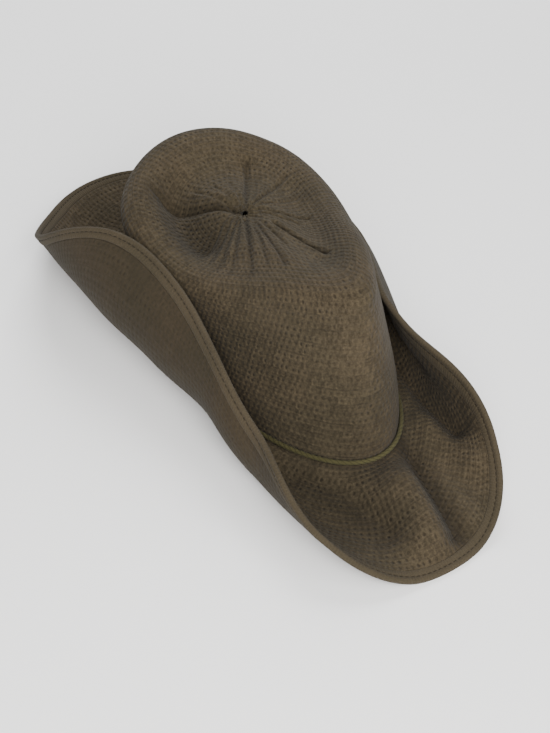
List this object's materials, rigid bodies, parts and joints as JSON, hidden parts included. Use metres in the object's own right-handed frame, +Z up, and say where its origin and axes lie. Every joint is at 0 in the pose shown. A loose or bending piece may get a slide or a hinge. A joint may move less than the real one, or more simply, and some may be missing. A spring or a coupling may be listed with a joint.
{
  "type": "fedora hat",
  "caption": "Soft knitted hat with a dented crown gathered at the top, a wide brim rolled up at both sides, a stitched hem and a cord round the crown.",
  "frame": {"origin": "on the resting plane, under the middle of the hat's bounding box", "axes": "+Z up, -Y towards the front of the hat, +X towards the wearer's left side"},
  "size_m": [0.1938, 0.4064, 0.1193],
  "materials": {
    "knit": "matte knitted cotton, olive brown",
    "hem": "matte knitted cotton, doubled and stitched",
    "cord": "matte twisted cotton"
  },
  "bodies": {
    "root": {"crown": "knit", "brim": "knit", "brim_hem": "hem", "crown_cord": "cord"}
  },
  "joints": []
}
